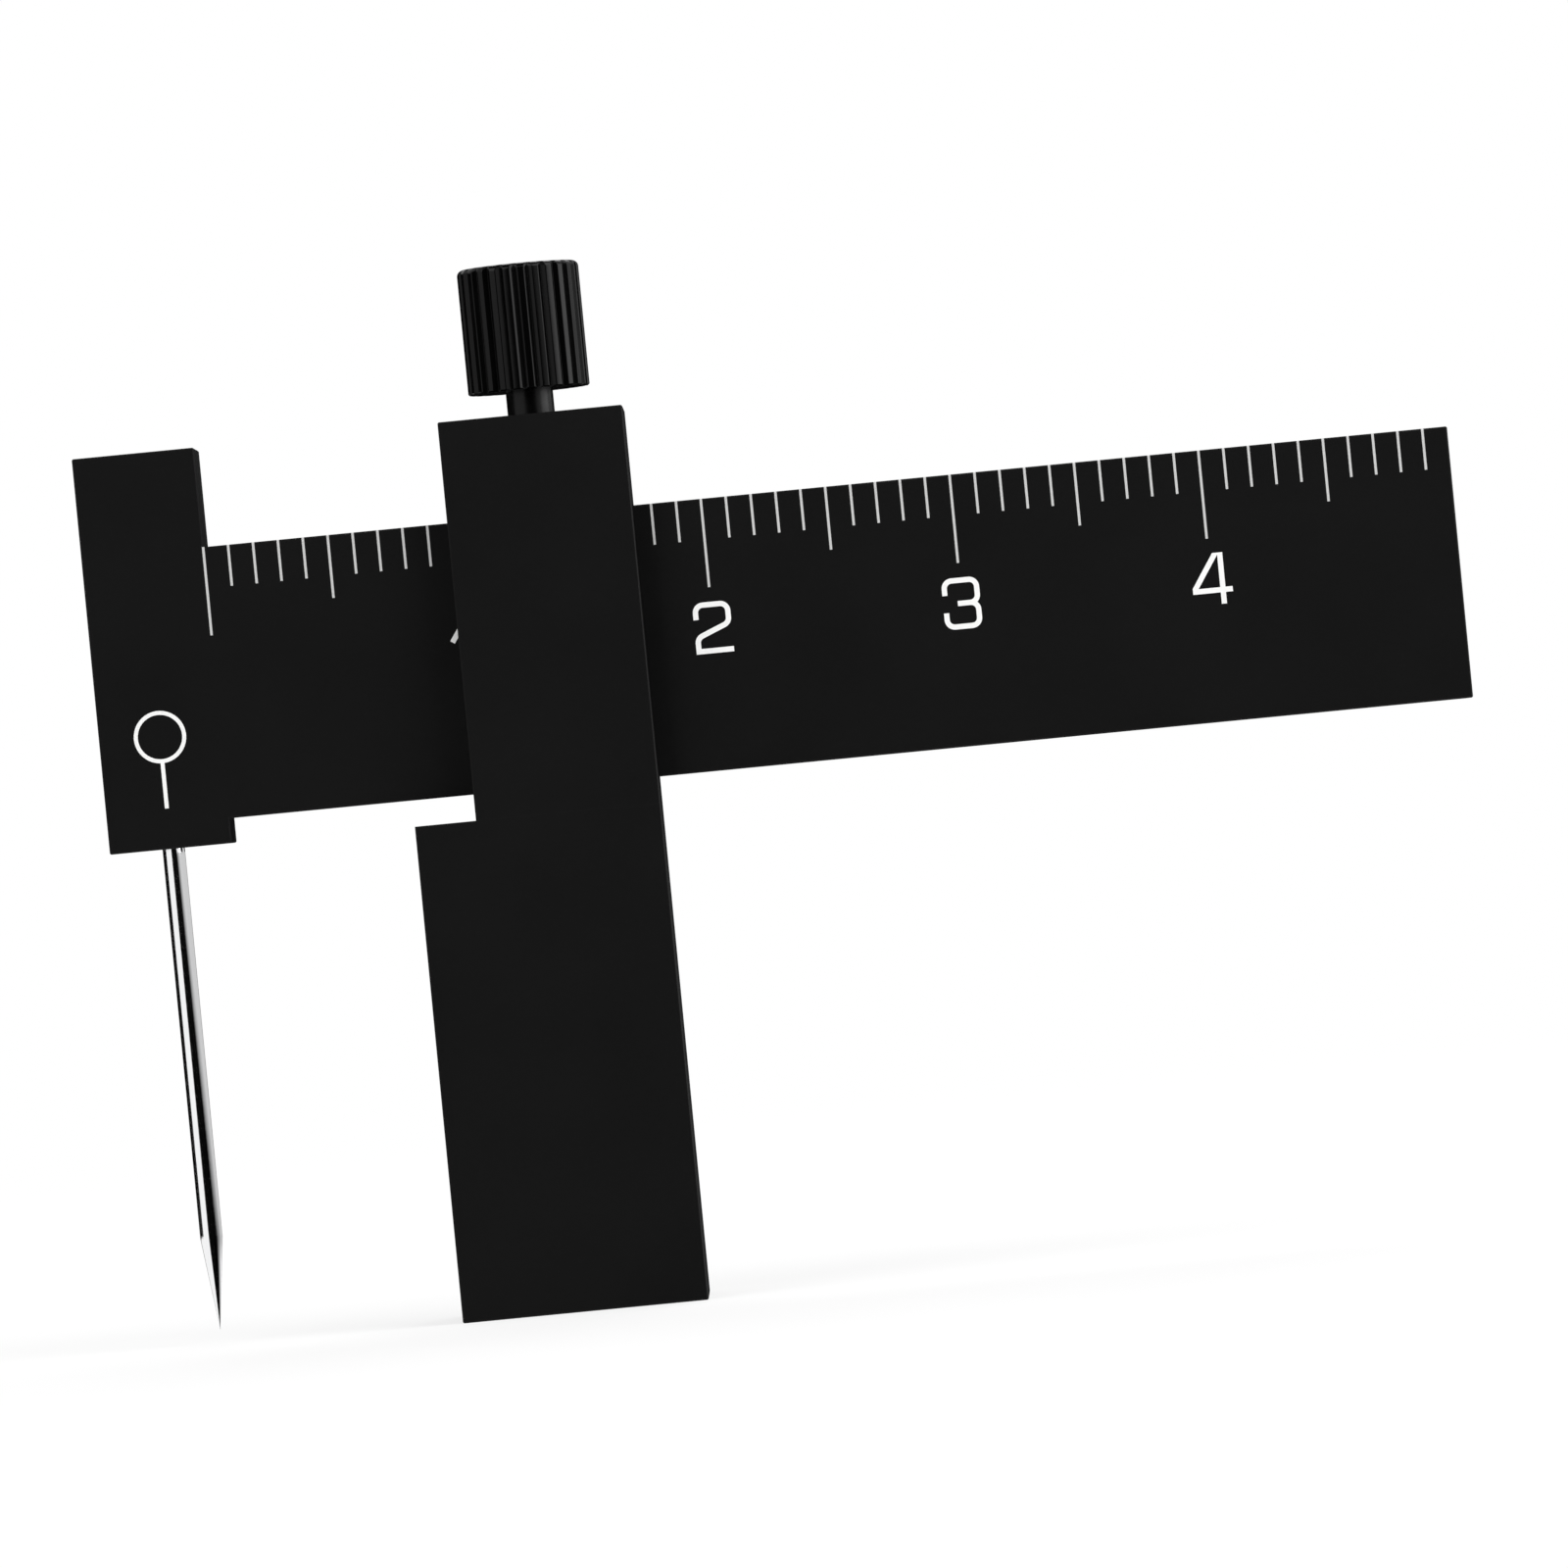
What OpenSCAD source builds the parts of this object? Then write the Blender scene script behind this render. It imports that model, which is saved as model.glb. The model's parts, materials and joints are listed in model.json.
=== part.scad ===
// Parallel scriber: a graduated bar with a needle in its head, and a fence that slides along the bar
// and is clamped by a thumb screw. Sizes are in millimetres.
// X runs along the bar away from the needle, Y to the back and Z up.
// The origin lies on the needle's axis, level with the underside of the head.

/* [Bar and head] */
// Length of the bar from the zero line to its end
scale_length = 50; // [25:1:99]
// Height of the bar
bar_height = 10.9; // [9:0.1:20]
// Thickness of the bar and the head, front to back
bar_thickness = 4; // [3.2:0.1:8]
// Width of the head along the bar
head_width = 4.9; // [4:0.1:8]
// Rise of the head and the slider above the bar
head_rise = 4; // [3:0.1:8]
// Drop of the head below the bar
head_drop = 1; // [0.9:0.05:3]
// Width of the broken edge along every outer corner
edge_break = 0.05; // [0.03:0.01:0.2]

/* [Scale marks] */
// Depth of the paint-filled marks under the front face
mark_depth = 0.15; // [0.05:0.01:0.4]
// Distance from one graduation line to the next
tick_pitch = 1; // [1:0.05:2]
// Width of a graduation line
tick_width = 0.1; // [0.06:0.01:0.3]
// Length of a plain graduation line
tick_length = 1.65; // [1:0.05:2]
// Length of the line halfway between two numerals
half_tick_length = 2.53; // [2:0.01:3]
// Length of the line over a numeral
long_tick_length = 3.55; // [3:0.05:4.5]
// Space between a line and its numeral
numeral_gap = 0.59; // [0.3:0.01:1]
// Height of a numeral
numeral_height = 2.06; // [1.6:0.01:3]
// Width of a numeral
numeral_width = 1.51; // [1.2:0.01:2.4]
// Stroke width of a numeral
numeral_stroke = 0.21; // [0.15:0.01:0.3]
// Outside diameter of the ring mark on the head
ring_diameter = 2.1; // [1.2:0.1:2.6]
// Line width of the ring mark
ring_stroke = 0.16; // [0.1:0.01:0.3]
// Height of the ring mark's centre above the head's underside
ring_height = 4.5; // [3.5:0.1:6]
// Length of the pointer line under the ring mark
pointer_length = 1.9; // [0.5:0.1:1.9]

/* [Needle] */
// Diameter of the needle
needle_diameter = 0.9; // [0.5:0.05:1.2]
// Length of the needle below the head
needle_projection = 19.45; // [8:0.05:40]
// Length of the conical point
needle_taper = 3.75; // [1:0.05:6]
// Length of the needle inside the head
needle_grip = 11; // [9:0.5:12]
// Room above the needle in its blind bore, by which it can be set higher
needle_travel = 2.5; // [0:0.5:3]
// Gap around the needle in its bore
needle_fit = 0.03; // [0.01:0.01:0.1]

/* [Needle set screw] */
// Thread diameter of the set screw
set_screw_diameter = 2; // [1.4:0.1:2.4]
// Height of the set screw above the head's underside
set_screw_height = 7; // [2:0.5:8]
// Hexagon socket of the set screw, across flats
set_screw_socket = 0.9; // [0.7:0.1:1]
// Gap between the set screw's point and the needle
set_screw_gap = 0.02; // [0.01:0.01:0.05]

/* [Slider] */
// Distance from the needle's axis to the guide face of the fence, read at the slider's left edge
reading = 9.85; // [0.7:0.05:15]
// Width of the slider along the bar
slider_width = 7.4; // [7:0.05:12]
// Thickness of the slider's front and back walls
slider_wall = 1.45; // [1:0.05:3]
// Gap between the bar and the slider's window, on each side
slide_fit = 0.05; // [0.02:0.01:0.1]

/* [Fence] */
// Length of the fence below the slider
fence_length = 19.9; // [10:0.1:40]
// Gap by which the fence's shoulder passes under the head
shoulder_gap = 0.06; // [0.02:0.01:0.3]
// Thread diameter of the countersunk screw in the slider's floor
fence_screw_diameter = 1.6; // [1.2:0.1:2]
// Head diameter of the countersunk screw
fence_screw_head = 2.8; // [2.4:0.1:3]
// Length of the countersunk screw
fence_screw_length = 6; // [3:0.5:9]
// Hexagon socket of the countersunk screw, across flats
fence_screw_socket = 0.9; // [0.7:0.1:1]
// Diameter of the two dowels between slider and fence
dowel_diameter = 1; // [0.6:0.1:1.2]
// Length of a dowel
dowel_length = 3; // [2:0.5:8]
// Length of a dowel in the slider's floor
dowel_seat = 0.65; // [0.3:0.05:0.7]
// Material between a dowel and the slider's side
dowel_edge = 0.6; // [0.4:0.05:0.7]

/* [Clamp] */
// Diameter of the thumb screw's shank
clamp_diameter = 1.9; // [1.4:0.1:2.4]
// Diameter of the shoe under the thumb screw
shoe_diameter = 3; // [2.6:0.1:3.6]
// Thickness of the shoe
shoe_height = 0.8; // [0.5:0.05:1.2]
// Gap between the tightened shoe and the bar
shoe_gap = 0.02; // [0.01:0.01:0.05]
// Lift of the shoe when the thumb screw is undone
shoe_lift = 0.6; // [0.2:0.05:0.8]
// Gap around the shank and the shoe
clamp_fit = 0.05; // [0.02:0.01:0.1]
// Diameter of the knob over its ridges
knob_diameter = 4.9; // [4:0.1:8]
// Height of the knob
knob_height = 5.05; // [3:0.05:8]
// Space between the tightened knob and the slider
knob_gap = 1.05; // [0.5:0.05:3]
// Number of ridges around the knob
ridge_count = 26; // [16:1:36]
// Depth of the grooves between the ridges
groove_depth = 0.16; // [0.08:0.01:0.25]
// Share of the pitch that a groove takes
groove_share = 0.56; // [0.4:0.01:0.75]
// Angle in degrees by which one groove of the tightened knob stands to the right of the front
knob_turn = -3; // [-6:1:6]
// Radius of the knob's rounded top edge
knob_round = 0.25; // [0.1:0.05:0.4]
// Thickness of the knob above the end of the shank
knob_cap = 1.1; // [0.5:0.1:1.5]

/* [Hidden] */
$fn = 64;

// Gap left around pieces that are bonded or screwed together
bond_gap = 0.01;
// Chamfer on the ends of screws, shoe, dowels and needle
end_chamfer = 0.1;
// Depth of a hexagon socket
socket_depth = 0.6;
// Depth of the countersunk head below the window's floor
head_recess = 0.03;
// Amount by which a cut runs past the surface that it opens
over = 1;
// Straight steps in each round stretch of a numeral
arc_steps = 8;
// Graduation lines from one numeral to the next
numeral_step = 10;

anodised = [0.1, 0.1, 0.1];
oxide = [0.16, 0.16, 0.17];
steel = [0.82, 0.83, 0.84];
brass = [0.8, 0.62, 0.3];
paint = [0.95, 0.95, 0.94];

// Levels of the bar and head
bar_bottom = head_drop;
bar_top = bar_bottom + bar_height;
head_top = bar_top + head_rise;
front = -bar_thickness / 2;
back = bar_thickness / 2;
zero_x = head_width / 2;
bar_end = zero_x + scale_length;
needle_bore_depth = needle_grip + needle_travel + bond_gap;

// Graduation lines on the bar, and numerals under them
tick_count = round(scale_length / tick_pitch);
numeral_count = floor((tick_count - 1) / numeral_step);

// Extents of the slider and the fence
slider_left = reading + zero_x;
slider_right = slider_left + slider_width;
slider_middle = (slider_left + slider_right) / 2;
slider_half_depth = bar_thickness / 2 + slide_fit + slider_wall;
window_floor = bar_bottom - slide_fit;
window_ceiling = bar_top + slide_fit;
seam = -shoulder_gap;
fence_bottom = seam - fence_length;
dowel_offset = slider_width / 2 - dowel_edge - dowel_diameter / 2;

// Levels of the clamp
shoe_bottom = bar_top + shoe_gap;
shoe_top = shoe_bottom + shoe_height;
knob_bottom = head_top + knob_gap;
knob_top = knob_bottom + knob_height;
shank_top = knob_top - knob_cap;
knob_radius = knob_diameter / 2;

// Centre-line box of a numeral, with its origin at the middle of the foot
numeral_top = bar_top - long_tick_length - numeral_gap;
half_width = (numeral_width - numeral_stroke) / 2;
line_height = numeral_height - numeral_stroke;
waist = line_height / 2;
corner = numeral_width / 5;
hook = numeral_height * 0.28;

// Outlines

// Rectangle with broken corners
module broken_square(width, height) {
    e = edge_break;
    polygon([[e, 0], [width - e, 0], [width, e], [width, height - e],
             [width - e, height], [e, height], [0, height - e], [0, e]]);
}

// Block between two opposite corners, with every edge broken
module block(low, high) {
    size = high - low;
    translate(low)
        intersection() {
            linear_extrude(size[2]) broken_square(size[0], size[1]);
            translate([0, size[1], 0])
                rotate([90, 0, 0]) linear_extrude(size[1]) broken_square(size[0], size[2]);
            rotate([90, 0, 90]) linear_extrude(size[0]) broken_square(size[1], size[2]);
        }
}

// Round pin standing on z = 0 with both ends chamfered
module pin(diameter, length) {
    r = diameter / 2;
    c = end_chamfer;
    rotate_extrude()
        polygon([[0, 0], [r - c, 0], [r, c], [r, length - c], [r - c, length], [0, length]]);
}

// Hexagon prism for a socket, standing on z = 0
module hexagon(across_flats, depth) {
    cylinder(d = across_flats / cos(30), h = depth, $fn = 6);
}

// Shape drawn on the front face and pressed into it by mark_depth, starting proud of the face
module engrave(x, z, proud = 0) {
    translate([x, front + mark_depth, z])
        rotate([90, 0, 0])
            linear_extrude(mark_depth + proud)
                children();
}

// Pen strokes

function unit(v) = v / norm(v);
function across(v) = [-v[1], v[0]];

// Points of a circular arc
function arc(centre, radius, start, end) =
    [for (k = [0:arc_steps]) centre + radius * [cos(start + (end - start) * k / arc_steps),
                                                sin(start + (end - start) * k / arc_steps)]];

// Point beside point i of a path, at distance d from the path's line
function beside(path, i, d) =
    let (last = len(path) - 1,
         coming = across(unit(path[max(i, 1)] - path[max(i, 1) - 1])),
         going = across(unit(path[min(i, last - 1) + 1] - path[min(i, last - 1)])),
         middle = unit(coming + going))
    path[i] + middle * d / (middle * coming);

// Band of even width along a path
module stroke(path) {
    last = len(path) - 1;
    polygon(concat([for (i = [0:last]) beside(path, i, numeral_stroke / 2)],
                   [for (i = [last:-1:0]) beside(path, i, -numeral_stroke / 2)]));
}

// Round corners of the numeral box, drawn clockwise
function top_left() = arc([corner - half_width, line_height - corner], corner, 180, 90);
function top_right() = arc([half_width - corner, line_height - corner], corner, 90, 0);
function foot_right() = arc([half_width - corner, corner], corner, 0, -90);
function foot_left() = arc([corner - half_width, corner], corner, -90, -180);
function waist_above() = arc([half_width - corner, waist + corner], corner, 0, -90);
function waist_below() = arc([half_width - corner, waist - corner], corner, 90, 0);

// Paths of the two, whose diagonal joins its two lower curves
two_slope = 22;
two_drop = line_height - hook - corner * cos(two_slope);
two_run = 2 * half_width - 2 * corner * (1 - sin(two_slope));
two_bend = two_drop - two_run * tan(two_slope) - corner * cos(two_slope);

// Corners of the one's flag
one_apex = [0, line_height * 1.055];
one_tip = [-half_width * 0.67, line_height * 0.72];

// Stem and crossbar of the four, and the top of its slope
four_stem = half_width * 0.7;
four_bar = hook * 0.8;
four_apex = [four_stem, line_height * 1.2];

function numeral_one() = [[[0, -numeral_stroke / 2], one_apex, one_tip]];
function numeral_two() =
    [concat([[-half_width, line_height - hook]], top_left(), top_right(),
            arc([half_width - corner, line_height - hook], corner, 0, two_slope - 90),
            arc([corner - half_width, two_bend], corner, 90 + two_slope, 180),
            [[-half_width, 0], [half_width + numeral_stroke / 2, 0]])];
function numeral_three() =
    [concat([[-half_width, line_height - hook]], top_left(), top_right(), waist_above(),
            [[-half_width / 4, waist]]),
     concat([[-half_width / 4, waist]], waist_below(), foot_right(), foot_left(), [[-half_width, hook]])];
function numeral_four() =
    [[four_apex, [-half_width * 1.1, four_bar], [half_width * 1.3, four_bar]],
     [[four_stem, -numeral_stroke / 2], [four_stem, line_height + numeral_stroke / 2]]];
function numeral_five() =
    [concat([[half_width, line_height], [-half_width, line_height], [-half_width, waist]], waist_below(),
            foot_right(), foot_left(), [[-half_width, hook]])];
function numeral_six() =
    [concat([[-half_width, waist]], waist_below(), foot_right(), foot_left(), top_left(), top_right(),
            [[half_width, line_height - hook]])];
function numeral_seven() =
    [[[-half_width - numeral_stroke / 2, line_height], [half_width, line_height],
      [-half_width / 3, -numeral_stroke / 2]]];
function numeral_eight() =
    [concat([[0, waist]], waist_below(), foot_right(), foot_left(),
            arc([corner - half_width, waist - corner], corner, 180, 90), [[0, waist]]),
     concat([[0, waist]], arc([corner - half_width, waist + corner], corner, 270, 180),
            top_left(), top_right(), waist_above(), [[0, waist]])];
function numeral_nine() = [[for (p = numeral_six()[0]) [-p[0], line_height - p[1]]]];

function numeral_paths(n) =
    [numeral_one(), numeral_two(), numeral_three(), numeral_four(), numeral_five(),
     numeral_six(), numeral_seven(), numeral_eight(), numeral_nine()][n - 1];

// Numeral with its foot on y = 0, trimmed to its height and on its left side
module numeral(n) {
    intersection() {
        translate([0, numeral_stroke / 2])
            union()
                for (path = numeral_paths(n)) stroke(path);
        translate([-numeral_width / 2, 0]) square([numeral_width + numeral_stroke, numeral_height]);
    }
}

// Marks on the front face

function tick_reach(i) =
    i % numeral_step == 0 ? long_tick_length
    : i % (numeral_step / 2) == 0 ? half_tick_length
    : tick_length;

module tick_marks(proud = 0) {
    for (i = [0:tick_count - 1])
        engrave(zero_x + i * tick_pitch, bar_top - tick_reach(i), proud)
            translate([-tick_width / 2, 0]) square([tick_width, tick_reach(i)]);
}

module numeral_marks(proud = 0) {
    for (n = [1:numeral_count])
        engrave(zero_x + n * numeral_step * tick_pitch, numeral_top - numeral_height, proud)
            numeral(n);
}

// Ring with a pointer line down the needle's axis
module ring_marks(proud = 0) {
    engrave(0, ring_height, proud) {
        difference() {
            circle(d = ring_diameter);
            circle(d = ring_diameter - 2 * ring_stroke);
        }
        translate([-ring_stroke / 2, ring_stroke / 2 - ring_diameter / 2 - pointer_length])
            square([ring_stroke, pointer_length]);
    }
}

// Bar with the needle's head, machined in one piece

module bar_blank() {
    block([-head_width / 2, front, 0], [head_width / 2, back, head_top]);
    block([0, front, bar_bottom], [bar_end, back, bar_top]);
}

module bar() {
    color(anodised)
        difference() {
            bar_blank();
            tick_marks(over);
            numeral_marks(over);
            ring_marks(over);
            translate([0, 0, -over])
                cylinder(d = needle_diameter + 2 * needle_fit, h = over + needle_bore_depth);
            translate([-head_width / 2 - over, 0, set_screw_height])
                rotate([0, 90, 0])
                    cylinder(d = set_screw_diameter + 2 * bond_gap, h = over + head_width / 2);
        }
}

module scale_ticks() {
    color(paint)
        intersection() {
            bar_blank();
            tick_marks();
        }
}

module scale_numerals() {
    color(paint) numeral_marks();
}

module ring_mark() {
    color(paint) ring_marks();
}

// Needle and its set screw

module needle() {
    r = needle_diameter / 2;
    color(steel)
        rotate_extrude()
            polygon([[0, -needle_projection], [r, needle_taper - needle_projection],
                     [r, needle_grip - end_chamfer], [r - end_chamfer, needle_grip], [0, needle_grip]]);
}

module needle_set_screw() {
    length = head_width / 2 - needle_diameter / 2 - set_screw_gap - edge_break;
    color(oxide)
        translate([-head_width / 2 + edge_break, 0, set_screw_height])
            rotate([0, 90, 0])
                difference() {
                    pin(set_screw_diameter, length);
                    translate([0, 0, -over]) hexagon(set_screw_socket, over + socket_depth);
                }
}

// Slider with its window for the bar

// Slab wider than the fence, which trims the slider or the fence flat and sharp at the seam
module seam_cut(bottom) {
    translate([reading - over, -slider_half_depth - over, bottom])
        cube([slider_right - reading + 2 * over, 2 * (slider_half_depth + over), 2 * over]);
}

module slider() {
    window = [slider_width + 2 * over, bar_thickness + 2 * slide_fit, window_ceiling - window_floor];
    color(anodised)
        difference() {
            block([slider_left, -slider_half_depth, seam - over],
                  [slider_right, slider_half_depth, head_top]);
            seam_cut(seam - 2 * over);
            translate([slider_left - over, -window[1] / 2, window_floor]) cube(window);
            translate([slider_middle, 0, 0]) clamp_bore();
            translate([slider_middle, 0, 0]) fence_screw_hole();
            for (side = [-1, 1])
                translate([slider_middle + side * dowel_offset, 0, seam]) dowel_hole();
        }
}

// Tapped bore for the thumb screw, opened out below for the shoe
module clamp_bore() {
    translate([0, 0, window_ceiling]) cylinder(d = clamp_diameter + 2 * clamp_fit, h = head_rise + over);
    translate([0, 0, window_ceiling - over])
        cylinder(d = shoe_diameter + 2 * clamp_fit, h = over + shoe_gap + shoe_height + shoe_lift);
}

// Fence and its fasteners

module fence() {
    color(anodised)
        difference() {
            block([reading, -slider_half_depth, fence_bottom],
                  [slider_right, slider_half_depth, seam + over]);
            seam_cut(seam);
            translate([slider_middle, 0, 0]) fence_screw_hole();
            for (side = [-1, 1])
                translate([slider_middle + side * dowel_offset, 0, seam]) dowel_hole();
        }
}

// Countersunk screw hanging from the window's floor, widened on every side by a gap
module fence_screw_body(gap) {
    head = fence_screw_head / 2 + gap;
    thread = fence_screw_diameter / 2 + gap;
    top = window_floor - head_recess;
    end = top - fence_screw_length - gap;
    rotate_extrude()
        polygon([[0, top], [head, top], [thread, top - head + thread], [thread, end], [0, end]]);
}

module fence_screw_hole() {
    fence_screw_body(bond_gap);
    translate([0, 0, window_floor - head_recess])
        cylinder(d = fence_screw_head + 2 * bond_gap, h = head_recess + over);
}

module fence_screw() {
    color(oxide)
        translate([slider_middle, 0, 0])
            difference() {
                fence_screw_body(0);
                translate([0, 0, window_floor - head_recess - socket_depth])
                    hexagon(fence_screw_socket, socket_depth + over);
            }
}

// Blind hole for a dowel, on both sides of the seam at z = 0
module dowel_hole() {
    translate([0, 0, dowel_seat - dowel_length - bond_gap])
        cylinder(d = dowel_diameter + 2 * bond_gap, h = dowel_length + 2 * bond_gap);
}

module fence_dowels() {
    color(steel)
        for (side = [-1, 1])
            translate([slider_middle + side * dowel_offset, 0, seam + dowel_seat - dowel_length])
                pin(dowel_diameter, dowel_length);
}

// Clamp

module clamp_shoe() {
    color(brass)
        translate([slider_middle, 0, shoe_bottom]) pin(shoe_diameter, shoe_height);
}

module clamp_screw() {
    color(oxide)
        translate([slider_middle, 0, shoe_top]) pin(clamp_diameter, shank_top - shoe_top);
}

// Knob outline seen from above: a circle with V-shaped grooves, one of them close to the front
module ridged_circle() {
    pitch = 360 / ridge_count;
    half_angle = pitch * groove_share / 2;
    root = knob_radius - groove_depth;
    wall = [knob_radius * cos(half_angle) - root, knob_radius * sin(half_angle)];
    difference() {
        circle(r = knob_radius);
        for (k = [0:ridge_count - 1])
            rotate(k * pitch + knob_turn - 90)
                translate([root, 0]) polygon([[0, 0], 2 * [wall[0], -wall[1]], 2 * wall]);
    }
}

// Knob outline seen from the side, from the axis outwards
module knob_section() {
    square([knob_radius - knob_round, knob_height]);
    translate([0, edge_break]) square([knob_radius, knob_height - knob_round - edge_break]);
    polygon([[0, 0], [knob_radius - edge_break, 0], [knob_radius, edge_break], [0, edge_break]]);
    translate([knob_radius - knob_round, knob_height - knob_round]) circle(r = knob_round);
}

module clamp_knob() {
    color(anodised)
        translate([slider_middle, 0, knob_bottom])
            difference() {
                intersection() {
                    rotate_extrude() knob_section();
                    linear_extrude(knob_height) ridged_circle();
                }
                translate([0, 0, -over])
                    cylinder(d = clamp_diameter + 2 * bond_gap, h = over + knob_height - knob_cap + bond_gap);
            }
}

bar();
scale_ticks();
scale_numerals();
ring_mark();
needle();
needle_set_screw();
slider();
fence();
fence_screw();
fence_dowels();
clamp_shoe();
clamp_screw();
clamp_knob();
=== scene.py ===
"""Looks of the parallel scriber: finishes, turned pieces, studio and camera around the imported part."""

import json
import math

import bmesh
import bpy
from mathutils import Matrix, Vector


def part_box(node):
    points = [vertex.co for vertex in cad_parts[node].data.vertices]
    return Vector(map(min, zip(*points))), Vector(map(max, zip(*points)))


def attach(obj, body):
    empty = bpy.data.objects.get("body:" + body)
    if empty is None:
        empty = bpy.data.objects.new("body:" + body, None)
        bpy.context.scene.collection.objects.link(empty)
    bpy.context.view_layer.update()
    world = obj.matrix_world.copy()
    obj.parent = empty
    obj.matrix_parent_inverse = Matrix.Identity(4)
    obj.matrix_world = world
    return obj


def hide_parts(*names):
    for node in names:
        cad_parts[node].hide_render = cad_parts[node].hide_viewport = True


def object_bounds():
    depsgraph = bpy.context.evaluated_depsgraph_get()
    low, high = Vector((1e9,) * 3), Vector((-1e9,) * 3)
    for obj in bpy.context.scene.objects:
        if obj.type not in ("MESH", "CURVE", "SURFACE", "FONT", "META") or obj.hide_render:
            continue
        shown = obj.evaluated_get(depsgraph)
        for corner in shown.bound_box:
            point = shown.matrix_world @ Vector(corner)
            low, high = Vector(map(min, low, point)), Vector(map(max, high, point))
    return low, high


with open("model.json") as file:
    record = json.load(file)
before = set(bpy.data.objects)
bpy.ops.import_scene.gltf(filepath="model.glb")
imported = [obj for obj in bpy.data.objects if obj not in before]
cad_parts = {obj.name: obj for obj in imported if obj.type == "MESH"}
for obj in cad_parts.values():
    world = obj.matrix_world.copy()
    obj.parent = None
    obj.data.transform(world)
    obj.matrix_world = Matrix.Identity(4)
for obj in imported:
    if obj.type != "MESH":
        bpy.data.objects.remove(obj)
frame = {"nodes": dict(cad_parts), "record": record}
cad_low, cad_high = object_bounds()

MM = 0.001
UP = Vector((0.0, 0.0, 1.0))
MIDDLE = (cad_low + cad_high) / 2
WHITE = (1.0, 1.0, 1.0, 1.0)
SCENE = bpy.context.scene

# Face of a mesh that is one square of four points
ONE_FACE = [(0, 1, 2, 3)]

# Picture: its side in pixels, pixels in a millimetre at the bar's front face, and its turn to the left
PICTURE_SIDE = 1600
PICTURE_SCALE = 25.505
PICTURE_TURN = math.radians(5.548)

# Camera: distance from the bar's front face, the point that it faces, its sensor in millimetres, and the
# nearest and furthest distance that it sees
CAMERA_DISTANCE = 436 * MM
CAMERA_X = 24.667 * MM
CAMERA_Z = 0.218 * MM
SENSOR = 36.0
CAMERA_CLIP = (0.01, 100.0)

# Knob: its ridges and grooves, the angle of one groove from the front, and sizes that its box doesn't give
RIDGES = 26
GROOVE_DEPTH = 0.16 * MM
GROOVE_SHARE = 0.56
GROOVE_ROUND = 0.015 * MM
RIDGE_ROUND = 0.08 * MM
KNOB_TURN = math.radians(-3)
KNOB_ROUND = 0.25 * MM
KNOB_BREAK = 0.05 * MM
KNOB_BORE_RADIUS = 0.96 * MM
KNOB_CAP = 1.09 * MM

# Needle: length of its cone, height over which cone and shaft blend, and chamfer of its other end
NEEDLE_TAPER = 3.75 * MM
NEEDLE_BLEND = 0.1875 * MM
NEEDLE_CHAMFER = 0.1 * MM

# Share of the needle's radius that is left where the cone meets the shaft
BLEND_SHARE = 0.998

# Rounded tip: a small height, and rings as multiples of that height and of the cone's radius there
NEEDLE_TIP = 0.02 * MM
TIP_RINGS = ((0.25, 1.5), (1.0, 2.0), (4.0, 4.0))

# Straight steps in the roundings of groove, ridge and shoulder, and round the needle
GROOVE_STEPS = 2
RIDGE_STEPS = 5
SHOULDER_STEPS = 8
NEEDLE_STEPS = 64

# Distance from a crease at which an extra ring keeps the shading of both sides apart
CREASE = 0.015 * MM

# World: its brightness as a light; it is white wherever it is seen
AMBIENT = 0.5

# Floor: its size and colour, the share of its own white where the part stands, and the distances from
# the part between which it turns to plain white
FLOOR_SIZE = 6.0
FLOOR_COLOUR = (0.9, 0.9, 0.9, 1.0)
FLOOR_GLOW = 0.7
SHADOW_REACH = (60 * MM, 260 * MM)

# Lamps: azimuth and elevation in degrees, distance and size in metres, and level
LAMPS = {
    "key": (60, 45, 0.7, 0.45, 0.42),
    "fill": (-45, 35, 0.8, 0.6, 0.3),
    "back": (170, 50, 0.8, 0.5, 0.4),
    "side": (78, 5, 0.8, 0.6, 0.5),
}

# Dark cards, seen only in reflections: their colour and distance, azimuths and elevations of the walls
# in degrees, the straight steps round a wall, and the elevation that the ceiling comes down to
CLOTH_COLOUR = (0.004, 0.004, 0.004, 1.0)
CARD_DISTANCE = 0.9
WALLS = {
    "wall_front": ((-25, 31), (-40, 40)),
    "wall_left": ((-178, -84), (-6, 15)),
    "wall_back": ((130, 215), (-30, 20)),
}
WALL_STEPS = 12
CEILING = 55

# Glowing card between needle and fence, seen only in reflections, which paints a reflection into the
# needle: its place, its inset from the fence's outline and its brightness
GLOW_CARD_X = 2 * MM
GLOW_CARD_INSET = 0.1 * MM
GLOW_CARD_LEVEL = 0.65

# Its painted glow brightens from front to back between these depths, slanted with its height, and upwards
# it goes from white to its brightness between these heights
GLOW_CARD_DEPTH = (-3.75 * MM, -1.45 * MM)
GLOW_CARD_SLANT = 0.153
GLOW_CARD_FADE = (-17 * MM, -16.2 * MM)


# Nodes

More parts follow.
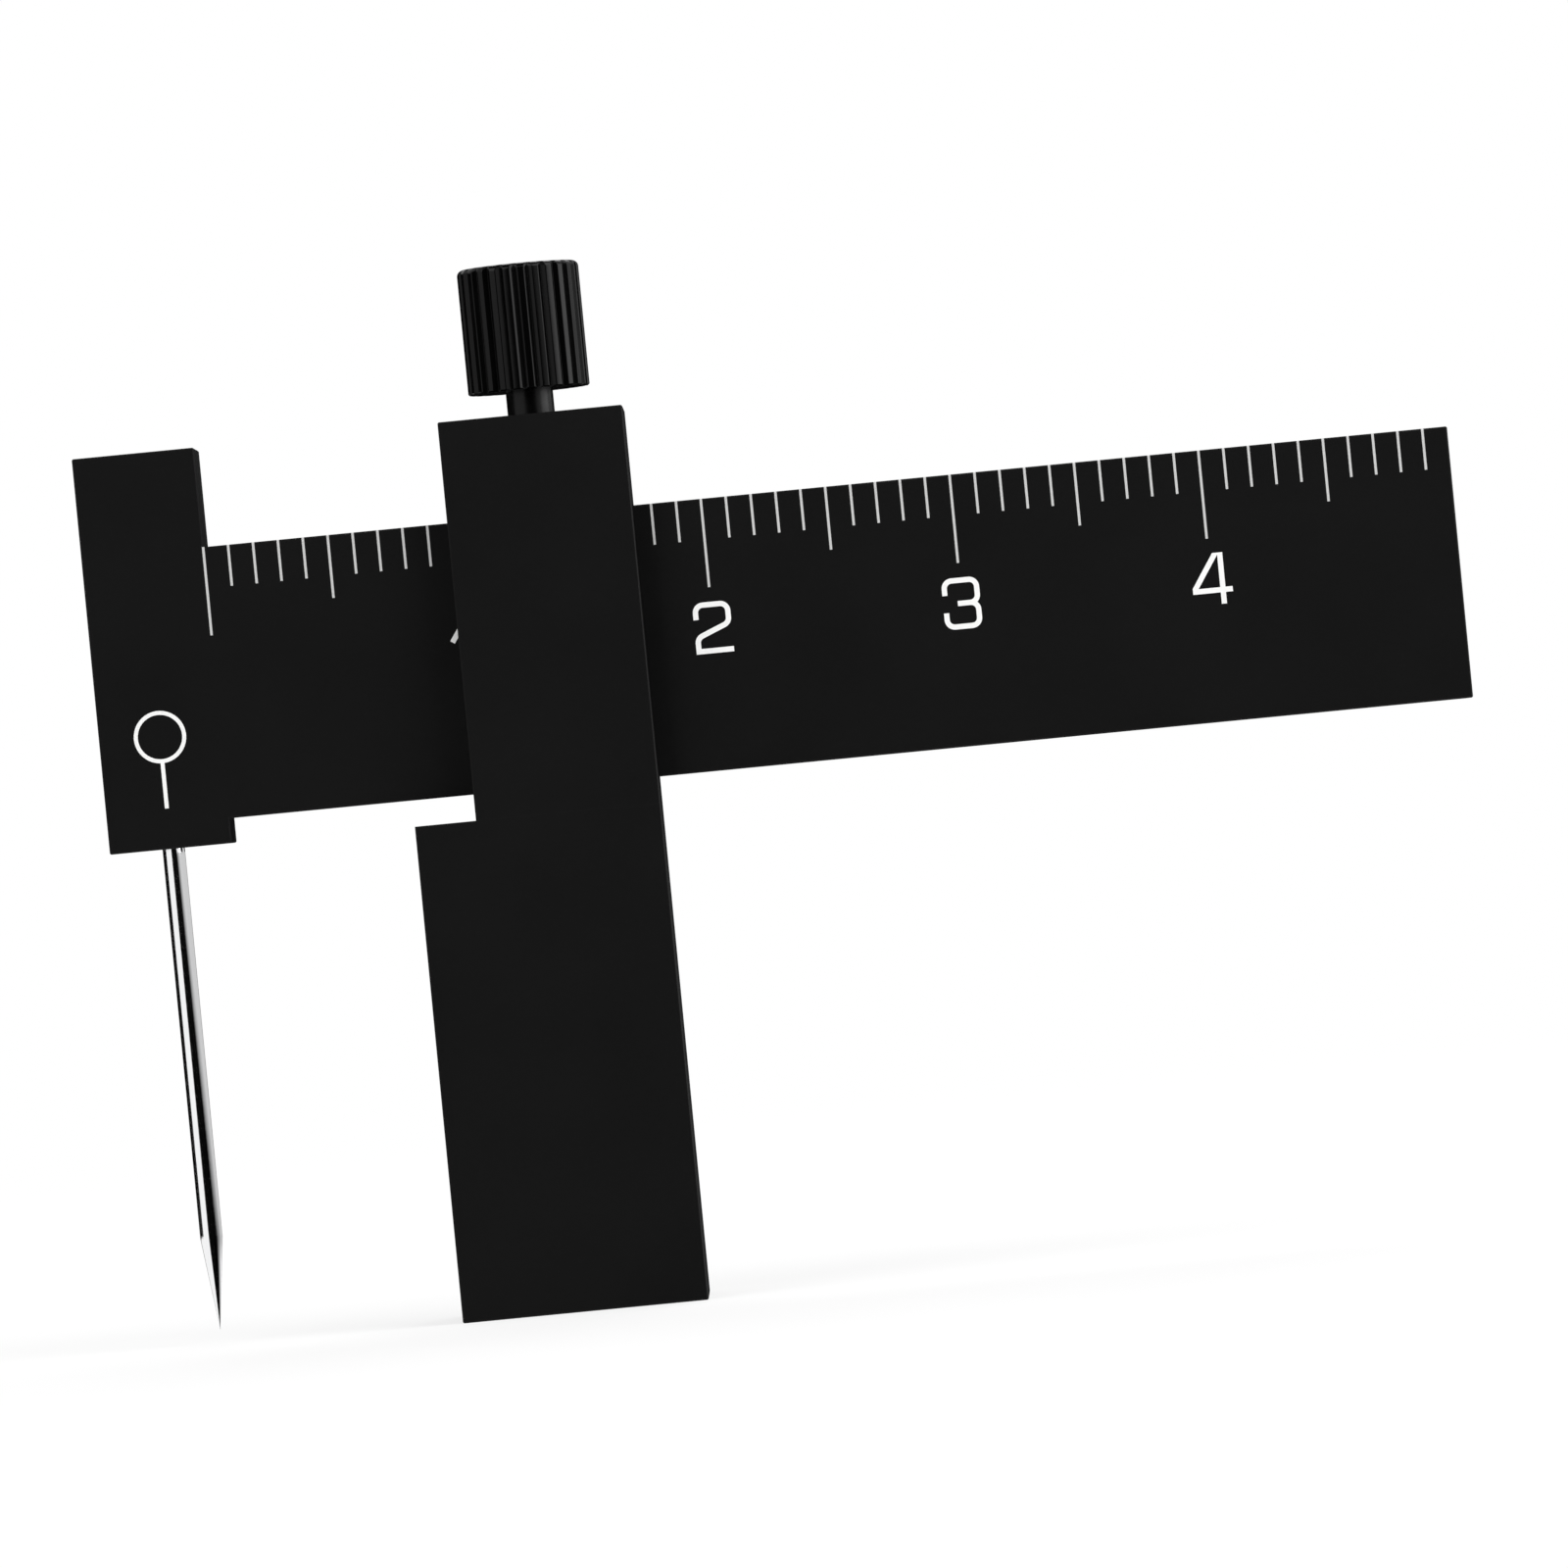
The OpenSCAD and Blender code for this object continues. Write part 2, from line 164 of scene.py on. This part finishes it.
class Nodes:
    """Node tree that is put together from a few kinds of node."""

    def __init__(self, tree):
        self.tree = tree

    def add(self, kind, *values, **settings):
        """New node with these settings, and with these values on its inputs in order."""
        node = self.tree.nodes.new(kind)
        for name, value in settings.items():
            setattr(node, name, value)
        for socket, value in zip(node.inputs, values):
            self.feed(socket, value)
        return node

    def feed(self, socket, value):
        """Links an output to a socket, or sets the socket to a plain value."""
        if isinstance(value, bpy.types.NodeSocket):
            self.tree.links.new(value, socket)
        else:
            socket.default_value = value

    def place(self):
        """Place of the shaded point, in metres."""
        return self.add("ShaderNodeTexCoord").outputs["Object"]

    def span(self, value, low, high, start=0.3, end=0.7, **settings):
        """Maps a value from start and end to low and high."""
        return self.add("ShaderNodeMapRange", value, start, end, low, high, **settings).outputs["Result"]

    def combine(self, operation, first, second):
        """Number worked out from two numbers."""
        return self.add("ShaderNodeMath", first, second, operation=operation).outputs["Value"]

    def vector(self, operation, *values):
        """Node that works on vectors."""
        return self.add("ShaderNodeVectorMath", *values, operation=operation)

    def height(self, place):
        """Height of a place."""
        return self.add("ShaderNodeSeparateXYZ", place).outputs["Z"]

    def seen_directly(self):
        """1 for camera, glossy and transmission rays, and 0 for the rays that light other things."""
        rays = self.add("ShaderNodeLightPath").outputs
        seen = self.combine("MAXIMUM", rays["Is Camera Ray"], rays["Is Glossy Ray"])
        return self.combine("MAXIMUM", seen, rays["Is Transmission Ray"])

    def surface(self, shader):
        """Makes a shader the material's surface."""
        self.feed(self.tree.nodes["Material Output"].inputs["Surface"], shader)


class Finish(Nodes):
    """Finish of the part: a material with one shader."""

    def __init__(self, name):
        self.material = bpy.data.materials.new(name)
        self.material.use_nodes = True
        super().__init__(self.material.node_tree)
        self.shader = self.tree.nodes["Principled BSDF"]
        self.spot = self.place()

    def shade(self, **values):
        """Sets or links sockets of the shader, named with underscores for spaces."""
        for name, value in values.items():
            self.feed(self.shader.inputs[name.replace("_", " ")], value)

    def noise(self, size, stretch=(1, 1, 1), detail=2.0):
        """Noise from 0 to 1 with grains of this size, drawn out along the axes by stretch."""
        mapping = self.add("ShaderNodeMapping", self.spot)
        mapping.inputs["Scale"].default_value = [1 / (size * s) for s in stretch]
        noise = self.add("ShaderNodeTexNoise", mapping.outputs["Vector"])
        noise.inputs["Scale"].default_value = 1.0
        noise.inputs["Detail"].default_value = detail
        return noise.outputs["Fac"]

    def turning(self, axis, size):
        """Noise in rings of this width round an upright axis."""
        shifted = self.vector("SUBTRACT", self.spot, (axis.x, axis.y, 0.0)).outputs["Vector"]
        level = self.vector("MULTIPLY", shifted, (1.0, 1.0, 0.0)).outputs["Vector"]
        noise = self.add("ShaderNodeTexNoise", noise_dimensions="1D")
        self.feed(noise.inputs["W"], self.vector("LENGTH", level).outputs["Value"])
        noise.inputs["Scale"].default_value = 1 / size
        return noise.outputs["Fac"]

    def mix(self, share, first, second):
        """Colour between two colours."""
        mixed = self.add("ShaderNodeMix", share, data_type="RGBA")
        for name, colour in (("A", first), ("B", second)):
            socket = next(s for s in mixed.inputs if s.name == name and s.type == "RGBA")
            self.feed(socket, colour if isinstance(colour, bpy.types.NodeSocket) else (*colour, 1.0))
        return next(s for s in mixed.outputs if s.type == "RGBA")

    def edge(self, radius):
        """Mask that is 0 on flat faces and rises to 1 on sharp edges."""
        rounded = self.add("ShaderNodeBevel", radius, samples=6).outputs["Normal"]
        facing = self.add("ShaderNodeNewGeometry").outputs["Normal"]
        agree = self.vector("DOT_PRODUCT", rounded, facing).outputs["Value"]
        return self.span(agree, 1.0, 0.0, start=0.8, end=0.995)

    def worn_and_highlit(self, radius, patch):
        """Mask of sharp edges in patches of this size: partly wear, partly a painted highlight along the
        edges.
        """
        return self.combine("MULTIPLY", self.edge(radius), self.span(self.noise(patch), 0.0, 0.4))

    def bump(self, *heights):
        """Stacks bumps, each a height from 0 to 1 and its depth."""
        normal = None
        for height, depth in heights:
            bump = self.add("ShaderNodeBump")
            bump.inputs["Distance"].default_value = depth
            self.feed(bump.inputs["Height"], height)
            if normal is not None:
                self.feed(bump.inputs["Normal"], normal)
            normal = bump.outputs["Normal"]
        self.feed(self.shader.inputs["Normal"], normal)


def grey(level):
    return (level, level, level)


def axis_of(node):
    """Middle of a round node's box."""
    low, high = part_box(node)
    return (low + high) / 2


# Finishes

def anodised():
    """Satin black anodised aluminium with a blasted grain, uneven dye and edges a little lighter, partly
    wear and partly a painted highlight.
    """
    finish = Finish("black_anodised")
    cloud = finish.noise(5 * MM, detail=3.0)
    grain = finish.noise(0.05 * MM)
    dye = finish.mix(cloud, grey(0.002), grey(0.0028))
    finish.shade(
        # Edges lighter: partly wear, partly a painted highlight standing in for light caught on the edges
        Base_Color=finish.mix(finish.worn_and_highlit(0.04 * MM, 0.6 * MM), dye, grey(0.015)),
        Roughness=finish.span(cloud, 0.53, 0.58),
        Specular_IOR_Level=0.15,
    )
    finish.bump((grain, 0.002 * MM))
    return finish.material


def knob_black():
    """Semi-gloss black anodised aluminium, turned and ridged."""
    finish = Finish("black_knob")
    cloud = finish.noise(1.5 * MM, detail=3.0)
    rings = finish.turning(axis_of("clamp_knob"), 0.05 * MM)
    lines = finish.noise(0.05 * MM, stretch=(20, 20, 1))
    dye = finish.mix(cloud, grey(0.0008), grey(0.0014))
    finish.shade(
        # Edges lighter: partly wear, partly a painted highlight standing in for light caught on the edges
        Base_Color=finish.mix(finish.worn_and_highlit(0.03 * MM, 0.4 * MM), dye, grey(0.012)),
        Roughness=finish.span(cloud, 0.17, 0.23),
        Specular_IOR_Level=0.15,
    )
    finish.bump((rings, 0.0015 * MM), (lines, 0.0006 * MM))
    return finish.material


def paint():
    """White paint, filled into the marks and wiped off, thinner in the fine lines above the numerals."""
    finish = Finish("white_paint")
    cloud = finish.noise(0.8 * MM, detail=3.0)
    grain = finish.noise(0.06 * MM)
    numerals_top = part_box("scale_numerals")[1].z
    lines_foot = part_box("scale_ticks")[0].z
    thin = finish.span(finish.height(finish.spot), 0.0, 1.0, start=numerals_top, end=lines_foot)
    white = finish.mix(cloud, (0.84, 0.84, 0.83), (0.92, 0.92, 0.91))
    finish.shade(
        Base_Color=finish.mix(thin, white, (0.55, 0.55, 0.545)),
        Roughness=finish.span(cloud, 0.45, 0.6),
        Specular_IOR_Level=0.4,
    )
    finish.bump((grain, 0.003 * MM))
    return finish.material


def polished_steel():
    """Hard steel, ground round and polished."""
    finish = Finish("polished_steel")
    cloud = finish.noise(1.2 * MM, detail=3.0)
    rings = finish.noise(0.03 * MM, stretch=(30, 30, 1))
    finish.shade(
        Base_Color=finish.mix(cloud, (0.87, 0.875, 0.88), (0.92, 0.925, 0.93)),
        Metallic=1.0,
        Roughness=finish.span(rings, 0.08, 0.14),
    )
    finish.bump((rings, 0.0002 * MM))
    return finish.material


def black_oxide():
    """Steel blackened in a hot bath and oiled."""
    finish = Finish("black_oxide")
    cloud = finish.noise(0.7 * MM, detail=4.0)
    grain = finish.noise(0.03 * MM)
    finish.shade(
        Base_Color=finish.mix(cloud, grey(0.0015), grey(0.004)),
        Roughness=finish.span(cloud, 0.24, 0.32),
        Specular_IOR_Level=0.2,
    )
    finish.bump((grain, 0.0006 * MM))
    return finish.material


def ground_steel():
    """Steel ground round, with fine rings."""
    finish = Finish("ground_steel")
    cloud = finish.noise(0.8 * MM, detail=3.0)
    rings = finish.noise(0.03 * MM, stretch=(30, 30, 1))
    finish.shade(
        Base_Color=finish.mix(cloud, (0.55, 0.55, 0.56), (0.64, 0.64, 0.65)),
        Metallic=1.0,
        Roughness=finish.span(rings, 0.2, 0.34),
    )
    finish.bump((rings, 0.001 * MM))
    return finish.material


def brass():
    """Turned brass, dulled a little where it is handled least."""
    finish = Finish("brass")
    cloud = finish.noise(0.9 * MM, detail=4.0)
    rings = finish.turning(axis_of("clamp_shoe"), 0.05 * MM)
    finish.shade(
        Base_Color=finish.mix(cloud, (0.55, 0.36, 0.13), (0.76, 0.54, 0.22)),
        Metallic=1.0,
        Roughness=finish.span(rings, 0.22, 0.36),
    )
    finish.bump((rings, 0.0015 * MM))
    return finish.material


FINISHES = {
    "black_anodised": anodised(),
    "black_knob": knob_black(),
    "white_paint": paint(),
    "polished_steel": polished_steel(),
    "black_oxide": black_oxide(),
    "ground_steel": ground_steel(),
    "brass": brass(),
}
SLOTS = {part["node"]: part["material_slot"] for part in frame["record"]["subparts"]}

for name, node in frame["nodes"].items():
    node.material_slots[0].material = FINISHES[SLOTS[name]]


# Turned pieces

def placed(name, data):
    """New object in the scene."""
    thing = bpy.data.objects.new(name, data)
    SCENE.collection.objects.link(thing)
    return thing


def turned_piece(name, body, node, rings):
    """Closed piece through rings of points, each end of it a single point, in place of a node."""
    mesh = bmesh.new()
    rows = [[mesh.verts.new(point) for point in ring] for ring in rings]
    for low, high in zip(rows, rows[1:]):
        around = max(len(low), len(high))
        for i in range(around):
            j = (i + 1) % around
            corners = [low[i % len(low)], low[j % len(low)], high[j % len(high)], high[i % len(high)]]
            mesh.faces.new(dict.fromkeys(corners))
    for face in mesh.faces:
        face.smooth = True
    data = bpy.data.meshes.new(name)
    mesh.to_mesh(data)
    mesh.free()
    data.materials.append(FINISHES[SLOTS[node]])
    piece = placed(name, data)
    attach(piece, body)
    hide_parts(node)


def steps(start, end, count):
    """Evenly spaced values, ends included."""
    return [start + (end - start) * k / count for k in range(count + 1)]


def ring(axis, z, outline, limit):
    """Points round an upright axis, at the outline's radii and angles but no further out than limit."""
    return [
        (axis.x + min(r, limit) * math.cos(a), axis.y + min(r, limit) * math.sin(a), z)
        for r, a in outline
    ]


def stacked(axis, outline, bottom, levels):
    """Rings at these heights and limits, from a point on the axis at bottom to one at the last height."""
    rings = [ring(axis, z, outline, limit) for z, limit in levels]
    top = levels[-1][0]
    return [[(axis.x, axis.y, bottom)], *rings, [(axis.x, axis.y, top)]]


def ridged_outline(radius):
    """Radii and angles round the knob: ridges with rounded lips between V grooves with rounded roots."""
    pitch = 2 * math.pi / RIDGES
    lip = Matrix.Rotation(pitch * GROOVE_SHARE / 2, 2) @ Vector((radius, 0.0))
    root = Vector((radius - GROOVE_DEPTH, 0.0))
    wall = (lip - root).normalized()
    foot = root + RIDGE_ROUND * Vector((-wall.y, wall.x))
    along = foot.dot(wall)
    reach = math.sqrt(along ** 2 - foot.dot(foot) + (radius - RIDGE_ROUND) ** 2) - along
    middle = foot + reach * wall
    lean = math.atan2(middle.y, middle.x)
    slope = math.atan2(wall.y, wall.x)
    bottom = GROOVE_ROUND / math.sin(slope)
    side = []
    for a in steps(math.pi, math.pi / 2 + slope, GROOVE_STEPS):
        side.append(root + Vector((bottom + GROOVE_ROUND * math.cos(a), GROOVE_ROUND * math.sin(a))))
    for a in steps(slope - math.pi / 2, lean, RIDGE_STEPS):
        side.append(middle + RIDGE_ROUND * Vector((math.cos(a), math.sin(a))))
    half = [(point.length, math.atan2(point.y, point.x)) for point in side]
    groove = [(r, -a) for r, a in reversed(half[1:])] + half + [(radius, pitch / 2)]
    start = KNOB_TURN - math.pi / 2
    return [(r, start + k * pitch + a) for k in range(RIDGES) for r, a in groove]


def knob():
    """Knurled knob, from the end of its bore down, round the outside and up to the middle of its top."""
    low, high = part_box("clamp_knob")
    radius = (high.x - low.x) / 2
    bore_top = high.z - KNOB_CAP
    shoulder = high.z - KNOB_ROUND
    flat = radius - KNOB_ROUND
    levels = [
        (bore_top, KNOB_BORE_RADIUS),
        (low.z, KNOB_BORE_RADIUS),
        (low.z, radius - KNOB_BREAK - CREASE),
        (low.z, radius - KNOB_BREAK),
        (low.z + KNOB_BREAK, radius),
        (low.z + KNOB_BREAK + CREASE, radius),
    ]
    for a in steps(0.0, math.pi / 2, SHOULDER_STEPS):
        levels.append((shoulder + KNOB_ROUND * math.sin(a), flat + KNOB_ROUND * math.cos(a)))
    levels += [(high.z, flat - CREASE), (high.z, flat / 2)]
    rings = stacked(axis_of("clamp_knob"), ridged_outline(radius), bore_top, levels)
    turned_piece("knurled_knob", "thumb_screw", "clamp_knob", rings)


def needle():
    """Needle from its rounded tip up the cone and the shaft to its chamfered end."""
    low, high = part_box("needle")
    radius = (high.x - low.x) / 2
    outline = [(radius, a) for a in steps(0.0, 2 * math.pi, NEEDLE_STEPS)[:-1]]
    slope = radius / NEEDLE_TAPER
    cone_top = low.z + NEEDLE_TAPER
    levels = [(low.z + z * NEEDLE_TIP, r * NEEDLE_TIP * slope) for z, r in TIP_RINGS]
    levels += [
        (cone_top - NEEDLE_BLEND, radius - NEEDLE_BLEND * slope),
        (cone_top, radius * BLEND_SHARE),
        (cone_top + NEEDLE_BLEND, radius),
        (high.z - NEEDLE_CHAMFER - CREASE, radius),
        (high.z - NEEDLE_CHAMFER, radius),
        (high.z, radius - NEEDLE_CHAMFER),
        (high.z, radius - NEEDLE_CHAMFER - CREASE),
    ]
    rings = stacked(axis_of("needle"), outline, low.z, levels)
    turned_piece("ground_needle", "needle", "needle", rings)


knob()
needle()


# Studio

def look_along(back, up):
    """Rotation of a lamp or camera that looks away from back, with up upwards."""
    back = back.normalized()
    right = up.cross(back).normalized()
    return Matrix((right, back.cross(right), back)).transposed().to_4x4()


def camera():
    """Camera square to the bar's front face, turned as the picture is."""
    data = bpy.data.cameras.new("camera")
    data.sensor_fit = "HORIZONTAL"
    data.sensor_width = SENSOR
    data.lens = SENSOR * CAMERA_DISTANCE / (PICTURE_SIDE / PICTURE_SCALE * MM)
    data.clip_start, data.clip_end = CAMERA_CLIP
    up = Vector((math.sin(PICTURE_TURN), 0.0, math.cos(PICTURE_TURN)))
    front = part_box("bar")[0].y
    place = Vector((CAMERA_X, front - CAMERA_DISTANCE, CAMERA_Z))
    thing = placed("camera", data)
    thing.matrix_world = Matrix.Translation(place) @ look_along(Vector((0.0, -1.0, 0.0)), up)
    SCENE.camera = thing


def white_world():
    """White wherever it is seen, and softer as a light."""
    world = bpy.data.worlds.new("studio")
    world.use_nodes = True
    SCENE.world = world
    nodes = Nodes(world.node_tree)
    background = world.node_tree.nodes["Background"]
    background.inputs["Color"].default_value = WHITE
    level = nodes.span(nodes.seen_directly(), AMBIENT, 1.0, start=0.0, end=1.0)
    nodes.feed(background.inputs["Strength"], level)


def bare_material(name):
    """Material without a shader, and its nodes."""
    material = bpy.data.materials.new(name)
    material.use_nodes = True
    tree = material.node_tree
    tree.nodes.remove(tree.nodes["Principled BSDF"])
    return material, Nodes(tree)


def stage_mesh(name, points, faces, material, **settings):
    """Part of the studio, not of the object, with these settings."""
    data = bpy.data.meshes.new(name)
    data.from_pydata(points, [], faces)
    data.materials.append(material)
    thing = placed(name, data)
    for setting, value in settings.items():
        setattr(thing, setting, value)


def square(middle, half):
    """Corners of a level square."""
    return [middle + Vector((x * half, y * half, 0.0)) for x, y in ((-1, -1), (1, -1), (1, 1), (-1, 1))]


def pale_floor():
    """White floor under the fence, which takes the part's shadow and fades to plain white further out."""
    material, nodes = bare_material("floor_white")
    away = nodes.vector("LENGTH", nodes.place()).outputs["Value"]
    near, far = SHADOW_REACH
    plain = nodes.span(away, FLOOR_GLOW, 1.0, start=near, end=far, interpolation_type="SMOOTHSTEP")
    share = nodes.combine("MULTIPLY", plain, nodes.seen_directly())
    lit = nodes.add("ShaderNodeBsdfDiffuse", FLOOR_COLOUR).outputs["BSDF"]
    glow = nodes.add("ShaderNodeEmission").outputs["Emission"]
    nodes.surface(nodes.add("ShaderNodeMixShader", share, lit, glow).outputs["Shader"])
    foot = (MIDDLE.x, MIDDLE.y, cad_low.z)
    corners = square(Vector(), FLOOR_SIZE / 2)
    stage_mesh("floor", corners, ONE_FACE, material, location=foot, visible_glossy=False)


def direction(azimuth, elevation):
    """Unit vector from the part, with azimuth in degrees from the camera towards its right."""
    a = math.radians(azimuth)
    e = math.radians(elevation)
    return Vector((math.sin(a) * math.cos(e), -math.cos(a) * math.cos(e), math.sin(e)))


def softbox(name, azimuth, elevation, distance, size, level):
    """Square lamp that faces the part; level is the brightness it gives a white surface that faces it."""
    data = bpy.data.lights.new(name, "AREA")
    data.shape = "SQUARE"
    data.size = size
    data.energy = level * math.pi * math.pi * distance * distance
    back = direction(azimuth, elevation)
    lamp = placed(name, data)
    lamp.matrix_world = Matrix.Translation(MIDDLE + back * distance) @ look_along(back, UP)


def card(name, points, faces, material):
    """Part of the studio that is seen only in reflections."""
    hidden = {"visible_camera": False, "visible_diffuse": False, "visible_shadow": False}
    stage_mesh(name, points, faces, material, **hidden)


def black_cloth():
    """Black cloth without any gloss."""
    material = bpy.data.materials.new("black_cloth")
    material.use_nodes = True
    shader = material.node_tree.nodes["Principled BSDF"]
    shader.inputs["Base Color"].default_value = CLOTH_COLOUR
    shader.inputs["Specular IOR Level"].default_value = 0.0
    return material


def dark_wall(name, azimuths, elevations, cloth):
    """Curved black wall between two directions and two heights."""
    points = []
    for azimuth in steps(*azimuths, WALL_STEPS):
        level = MIDDLE + direction(azimuth, 0.0) * CARD_DISTANCE
        points += [level + UP * CARD_DISTANCE * math.tan(math.radians(e)) for e in elevations]
    faces = [(2 * k, 2 * k + 2, 2 * k + 3, 2 * k + 1) for k in range(WALL_STEPS)]
    card(name, points, faces, cloth)


def dark_ceiling(elevation, cloth):
    """Black square overhead, down to this elevation."""
    half = CARD_DISTANCE / math.tan(math.radians(elevation))
    card("ceiling", square(MIDDLE + UP * CARD_DISTANCE, half), ONE_FACE, cloth)


def reflection_glow_card():
    """Glowing card between needle and fence, seen only in reflections: a painted reflection in the needle,
    darker towards the camera and white at the level of the cone.

    It is narrower than the fence, which swallows it when the slider stands at its lower limit.
    """
    material, nodes = bare_material("painted_reflection_glow")
    place = nodes.place()
    slanted = nodes.vector("DOT_PRODUCT", place, (0.0, 1.0, GLOW_CARD_SLANT)).outputs["Value"]
    front, back = GLOW_CARD_DEPTH
    across = nodes.span(slanted, 0.0, 1.0, start=front, end=back)
    lower, upper = GLOW_CARD_FADE
    upwards = nodes.span(nodes.height(place), 1.0, GLOW_CARD_LEVEL, start=lower, end=upper)
    level = nodes.combine("MULTIPLY", across, upwards)
    # Painted reflection: the card glows with this gradient, and only reflections see it
    nodes.surface(nodes.add("ShaderNodeEmission", WHITE, level).outputs["Emission"])
    low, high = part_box("fence")
    near, far = low.y + GLOW_CARD_INSET, high.y - GLOW_CARD_INSET
    foot, top = low.z + GLOW_CARD_INSET, high.z - GLOW_CARD_INSET
    outline = ((near, foot), (far, foot), (far, top), (near, top))
    card("painted_reflection_card", [Vector((GLOW_CARD_X, y, z)) for y, z in outline], ONE_FACE, material)


camera()
white_world()
pale_floor()
for name, lamp in LAMPS.items():
    softbox(name, *lamp)
cloth = black_cloth()
for name, reach in WALLS.items():
    dark_wall(name, *reach, cloth)
dark_ceiling(CEILING, cloth)
reflection_glow_card()

SCENE.view_settings.view_transform = "Standard"
